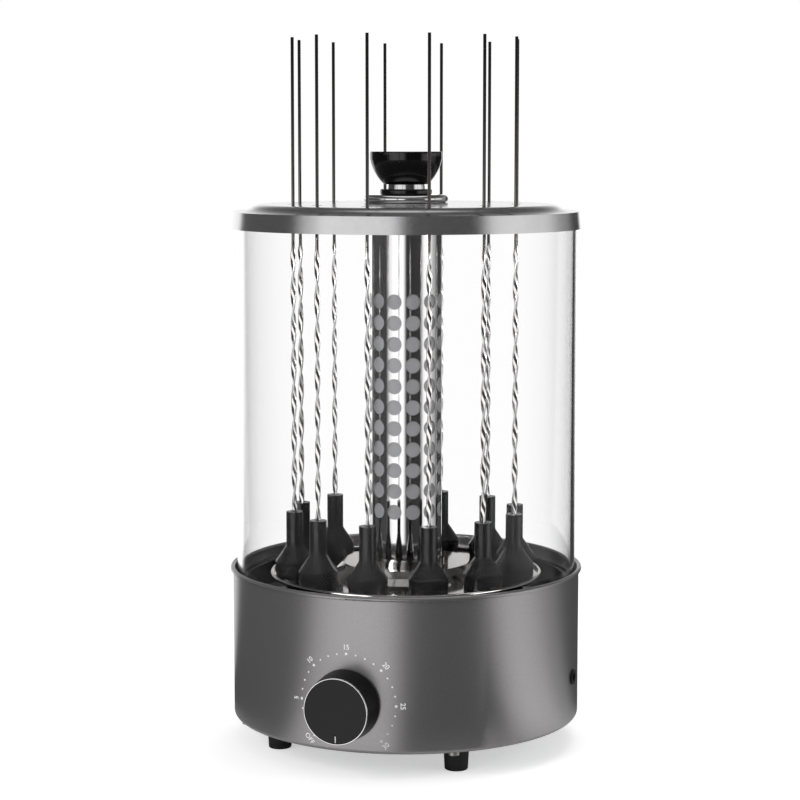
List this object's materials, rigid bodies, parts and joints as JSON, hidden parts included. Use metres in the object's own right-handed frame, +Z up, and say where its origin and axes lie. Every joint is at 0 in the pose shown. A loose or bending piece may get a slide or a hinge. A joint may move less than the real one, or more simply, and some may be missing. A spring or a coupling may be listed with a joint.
{
  "type": "electric skewer grill",
  "caption": "Electric vertical skewer grill: drum base with a timer knob, heated column, turning skewers in cups, lift-out drip tray, glass cylinder and lid with a knob handle.",
  "frame": {"origin": "centre of the bounding box's underside, on the table; the drum's axis stands 10 mm behind it", "axes": "+Z up along the drum's axis, timer knob to the front (-Y), cord gland on the right (+X)"},
  "size_m": [0.26, 0.28, 0.516],
  "materials": {
    "drum_paint": "satin gunmetal paint on sheet steel",
    "lid_paint": "satin silver-grey paint on sheet steel",
    "zinc_plate": "zinc-plated sheet",
    "black_rubber": "moulded, matt",
    "screw_steel": "zinc-plated",
    "black_enamel": "gloss enamel on sheet steel",
    "polished_steel": "mirror-polished stainless",
    "skewer_steel": "drawn and twisted stainless",
    "chrome_plate": "polished",
    "mesh_steel": "woven fine mesh",
    "heater_steel": "sheathed rod, heat-tinted",
    "ceramic": "steatite ceramic, unglazed",
    "cup_black": "moulded phenolic, polished",
    "gear_nylon": "moulded nylon",
    "deck_moulding": "glass-filled moulding",
    "knob_black": "moulded, polished",
    "ring_black": "moulded, satin",
    "clear_glass": "clear, polished ends"
  },
  "bodies": {
    "base": {"base_shell": "drum_paint", "inner_pan": "black_enamel", "bottom_plate": "zinc_plate", "rubber_feet": "black_rubber", "machine_screws": "screw_steel", "cord_gland": "black_rubber", "timer_body": "deck_moulding", "gear_deck": "deck_moulding", "gear_motor": "zinc_plate", "guard_column": "chrome_plate", "guard_mesh": "mesh_steel", "heater_rod": "heater_steel", "heater_socket": "ceramic"},
    "timer_dial": {"timer_shaft": "screw_steel", "timer_knob": "knob_black", "knob_trim_ring": "chrome_plate"},
    "big_gear": {"sun_gear": "gear_nylon"},
    "motor_pinion": {"drive_pinion": "gear_nylon"},
    "tray": {"drip_tray": "polished_steel"},
    "glass": {"glass_cylinder": "clear_glass"},
    "lid_unit": {"lid": "lid_paint", "handle_base": "chrome_plate", "handle_ring": "ring_black", "lid_handle": "knob_black"},
    "spindle_01": {"spindle_gear_01": "gear_nylon"},
    "cup_01": {"skewer_cup_01": "cup_black"},
    "spit_01": {"skewer_01": "skewer_steel"},
    "spindle_02": {"spindle_gear_02": "gear_nylon"},
    "cup_02": {"skewer_cup_02": "cup_black"},
    "spit_02": {"skewer_02": "skewer_steel"},
    "spindle_03": {"spindle_gear_03": "gear_nylon"},
    "cup_03": {"skewer_cup_03": "cup_black"},
    "spit_03": {"skewer_03": "skewer_steel"},
    "spindle_04": {"spindle_gear_04": "gear_nylon"},
    "cup_04": {"skewer_cup_04": "cup_black"},
    "spit_04": {"skewer_04": "skewer_steel"},
    "spindle_05": {"spindle_gear_05": "gear_nylon"},
    "cup_05": {"skewer_cup_05": "cup_black"},
    "spit_05": {"skewer_05": "skewer_steel"},
    "spindle_06": {"spindle_gear_06": "gear_nylon"},
    "cup_06": {"skewer_cup_06": "cup_black"},
    "spit_06": {"skewer_06": "skewer_steel"},
    "spindle_07": {"spindle_gear_07": "gear_nylon"},
    "cup_07": {"skewer_cup_07": "cup_black"},
    "spit_07": {"skewer_07": "skewer_steel"},
    "spindle_08": {"spindle_gear_08": "gear_nylon"},
    "cup_08": {"skewer_cup_08": "cup_black"},
    "spit_08": {"skewer_08": "skewer_steel"},
    "spindle_09": {"spindle_gear_09": "gear_nylon"},
    "cup_09": {"skewer_cup_09": "cup_black"},
    "spit_09": {"skewer_09": "skewer_steel"},
    "spindle_10": {"spindle_gear_10": "gear_nylon"},
    "cup_10": {"skewer_cup_10": "cup_black"},
    "spit_10": {"skewer_10": "skewer_steel"},
    "spindle_11": {"spindle_gear_11": "gear_nylon"},
    "cup_11": {"skewer_cup_11": "cup_black"},
    "spit_11": {"skewer_11": "skewer_steel"},
    "spindle_12": {"spindle_gear_12": "gear_nylon"},
    "cup_12": {"skewer_cup_12": "cup_black"},
    "spit_12": {"skewer_12": "skewer_steel"}
  },
  "joints": [
    {"name": "timer_turn", "type": "hinge", "parent": "base", "child": "timer_dial", "pos_m": [0, -0.13, 0.054], "axis": [0, 1, 0], "range_deg": [0, 315]},
    {"name": "big_gear_turn", "type": "hinge", "parent": "base", "child": "big_gear", "pos_m": [0, 0.01, 0.1], "axis": [0, 0, 1], "continuous": true},
    {"name": "motor_turn", "type": "hinge", "parent": "base", "child": "motor_pinion", "pos_m": [0, 0.061, 0.095], "axis": [0, 0, 1], "continuous": true},
    {"name": "tray_lift", "type": "slide", "parent": "base", "child": "tray", "axis": [0, 0, 1], "range_m": [0, 0.2]},
    {"name": "glass_lift", "type": "slide", "parent": "base", "child": "glass", "axis": [0, 0, 1], "range_m": [0, 0.42]},
    {"name": "lid_lift", "type": "slide", "parent": "glass", "child": "lid_unit", "axis": [0, 0, 1], "range_m": [0, 0.15]},
    {"name": "spindle_turn_01", "type": "hinge", "parent": "base", "child": "spindle_01", "pos_m": [0, -0.07325, 0.1], "axis": [0, 0, 1], "continuous": true},
    {"name": "cup_turn_01", "type": "hinge", "parent": "tray", "child": "cup_01", "pos_m": [0, -0.07325, 0.14], "axis": [0, 0, 1], "continuous": true},
    {"name": "skewer_lift_01", "type": "slide", "parent": "cup_01", "child": "spit_01", "axis": [0, 0, 1], "range_m": [0, 0.28]},
    {"name": "spindle_turn_02", "type": "hinge", "parent": "base", "child": "spindle_02", "pos_m": [0.04163, -0.0621, 0.1], "axis": [0, 0, 1], "continuous": true},
    {"name": "cup_turn_02", "type": "hinge", "parent": "tray", "child": "cup_02", "pos_m": [0.04163, -0.0621, 0.14], "axis": [0, 0, 1], "continuous": true},
    {"name": "skewer_lift_02", "type": "slide", "parent": "cup_02", "child": "spit_02", "axis": [0, 0, 1], "range_m": [0, 0.28]},
    {"name": "spindle_turn_03", "type": "hinge", "parent": "base", "child": "spindle_03", "pos_m": [0.0721, -0.03163, 0.1], "axis": [0, 0, 1], "continuous": true},
    {"name": "cup_turn_03", "type": "hinge", "parent": "tray", "child": "cup_03", "pos_m": [0.0721, -0.03163, 0.14], "axis": [0, 0, 1], "continuous": true},
    {"name": "skewer_lift_03", "type": "slide", "parent": "cup_03", "child": "spit_03", "axis": [0, 0, 1], "range_m": [0, 0.28]},
    {"name": "spindle_turn_04", "type": "hinge", "parent": "base", "child": "spindle_04", "pos_m": [0.08325, 0.01, 0.1], "axis": [0, 0, 1], "continuous": true},
    {"name": "cup_turn_04", "type": "hinge", "parent": "tray", "child": "cup_04", "pos_m": [0.08325, 0.01, 0.14], "axis": [0, 0, 1], "continuous": true},
    {"name": "skewer_lift_04", "type": "slide", "parent": "cup_04", "child": "spit_04", "axis": [0, 0, 1], "range_m": [0, 0.28]},
    {"name": "spindle_turn_05", "type": "hinge", "parent": "base", "child": "spindle_05", "pos_m": [0.0721, 0.05162, 0.1], "axis": [0, 0, 1], "continuous": true},
    {"name": "cup_turn_05", "type": "hinge", "parent": "tray", "child": "cup_05", "pos_m": [0.0721, 0.05162, 0.14], "axis": [0, 0, 1], "continuous": true},
    {"name": "skewer_lift_05", "type": "slide", "parent": "cup_05", "child": "spit_05", "axis": [0, 0, 1], "range_m": [0, 0.28]},
    {"name": "spindle_turn_06", "type": "hinge", "parent": "base", "child": "spindle_06", "pos_m": [0.04163, 0.0821, 0.1], "axis": [0, 0, 1], "continuous": true},
    {"name": "cup_turn_06", "type": "hinge", "parent": "tray", "child": "cup_06", "pos_m": [0.04163, 0.0821, 0.14], "axis": [0, 0, 1], "continuous": true},
    {"name": "skewer_lift_06", "type": "slide", "parent": "cup_06", "child": "spit_06", "axis": [0, 0, 1], "range_m": [0, 0.28]},
    {"name": "spindle_turn_07", "type": "hinge", "parent": "base", "child": "spindle_07", "pos_m": [0, 0.09325, 0.1], "axis": [0, 0, 1], "continuous": true},
    {"name": "cup_turn_07", "type": "hinge", "parent": "tray", "child": "cup_07", "pos_m": [0, 0.09325, 0.14], "axis": [0, 0, 1], "continuous": true},
    {"name": "skewer_lift_07", "type": "slide", "parent": "cup_07", "child": "spit_07", "axis": [0, 0, 1], "range_m": [0, 0.28]},
    {"name": "spindle_turn_08", "type": "hinge", "parent": "base", "child": "spindle_08", "pos_m": [-0.04163, 0.0821, 0.1], "axis": [0, 0, 1], "continuous": true},
    {"name": "cup_turn_08", "type": "hinge", "parent": "tray", "child": "cup_08", "pos_m": [-0.04163, 0.0821, 0.14], "axis": [0, 0, 1], "continuous": true},
    {"name": "skewer_lift_08", "type": "slide", "parent": "cup_08", "child": "spit_08", "axis": [0, 0, 1], "range_m": [0, 0.28]},
    {"name": "spindle_turn_09", "type": "hinge", "parent": "base", "child": "spindle_09", "pos_m": [-0.0721, 0.05162, 0.1], "axis": [0, 0, 1], "continuous": true},
    {"name": "cup_turn_09", "type": "hinge", "parent": "tray", "child": "cup_09", "pos_m": [-0.0721, 0.05162, 0.14], "axis": [0, 0, 1], "continuous": true},
    {"name": "skewer_lift_09", "type": "slide", "parent": "cup_09", "child": "spit_09", "axis": [0, 0, 1], "range_m": [0, 0.28]},
    {"name": "spindle_turn_10", "type": "hinge", "parent": "base", "child": "spindle_10", "pos_m": [-0.08325, 0.01, 0.1], "axis": [0, 0, 1], "continuous": true},
    {"name": "cup_turn_10", "type": "hinge", "parent": "tray", "child": "cup_10", "pos_m": [-0.08325, 0.01, 0.14], "axis": [0, 0, 1], "continuous": true},
    {"name": "skewer_lift_10", "type": "slide", "parent": "cup_10", "child": "spit_10", "axis": [0, 0, 1], "range_m": [0, 0.28]},
    {"name": "spindle_turn_11", "type": "hinge", "parent": "base", "child": "spindle_11", "pos_m": [-0.0721, -0.03163, 0.1], "axis": [0, 0, 1], "continuous": true},
    {"name": "cup_turn_11", "type": "hinge", "parent": "tray", "child": "cup_11", "pos_m": [-0.0721, -0.03163, 0.14], "axis": [0, 0, 1], "continuous": true},
    {"name": "skewer_lift_11", "type": "slide", "parent": "cup_11", "child": "spit_11", "axis": [0, 0, 1], "range_m": [0, 0.28]},
    {"name": "spindle_turn_12", "type": "hinge", "parent": "base", "child": "spindle_12", "pos_m": [-0.04163, -0.0621, 0.1], "axis": [0, 0, 1], "continuous": true},
    {"name": "cup_turn_12", "type": "hinge", "parent": "tray", "child": "cup_12", "pos_m": [-0.04163, -0.0621, 0.14], "axis": [0, 0, 1], "continuous": true},
    {"name": "skewer_lift_12", "type": "slide", "parent": "cup_12", "child": "spit_12", "axis": [0, 0, 1], "range_m": [0, 0.28]}
  ],
  "couplings": [
    {"joint": "motor_turn", "follows": "big_gear_turn", "ratio": -4.6667},
    {"joint": "spindle_turn_01", "follows": "big_gear_turn", "ratio": -6.4},
    {"joint": "cup_turn_01", "follows": "big_gear_turn", "ratio": -6.4},
    {"joint": "spindle_turn_02", "follows": "big_gear_turn", "ratio": -6.4},
    {"joint": "cup_turn_02", "follows": "big_gear_turn", "ratio": -6.4},
    {"joint": "spindle_turn_03", "follows": "big_gear_turn", "ratio": -6.4},
    {"joint": "cup_turn_03", "follows": "big_gear_turn", "ratio": -6.4},
    {"joint": "spindle_turn_04", "follows": "big_gear_turn", "ratio": -6.4},
    {"joint": "cup_turn_04", "follows": "big_gear_turn", "ratio": -6.4},
    {"joint": "spindle_turn_05", "follows": "big_gear_turn", "ratio": -6.4},
    {"joint": "cup_turn_05", "follows": "big_gear_turn", "ratio": -6.4},
    {"joint": "spindle_turn_06", "follows": "big_gear_turn", "ratio": -6.4},
    {"joint": "cup_turn_06", "follows": "big_gear_turn", "ratio": -6.4},
    {"joint": "spindle_turn_07", "follows": "big_gear_turn", "ratio": -6.4},
    {"joint": "cup_turn_07", "follows": "big_gear_turn", "ratio": -6.4},
    {"joint": "spindle_turn_08", "follows": "big_gear_turn", "ratio": -6.4},
    {"joint": "cup_turn_08", "follows": "big_gear_turn", "ratio": -6.4},
    {"joint": "spindle_turn_09", "follows": "big_gear_turn", "ratio": -6.4},
    {"joint": "cup_turn_09", "follows": "big_gear_turn", "ratio": -6.4},
    {"joint": "spindle_turn_10", "follows": "big_gear_turn", "ratio": -6.4},
    {"joint": "cup_turn_10", "follows": "big_gear_turn", "ratio": -6.4},
    {"joint": "spindle_turn_11", "follows": "big_gear_turn", "ratio": -6.4},
    {"joint": "cup_turn_11", "follows": "big_gear_turn", "ratio": -6.4},
    {"joint": "spindle_turn_12", "follows": "big_gear_turn", "ratio": -6.4},
    {"joint": "cup_turn_12", "follows": "big_gear_turn", "ratio": -6.4}
  ]
}
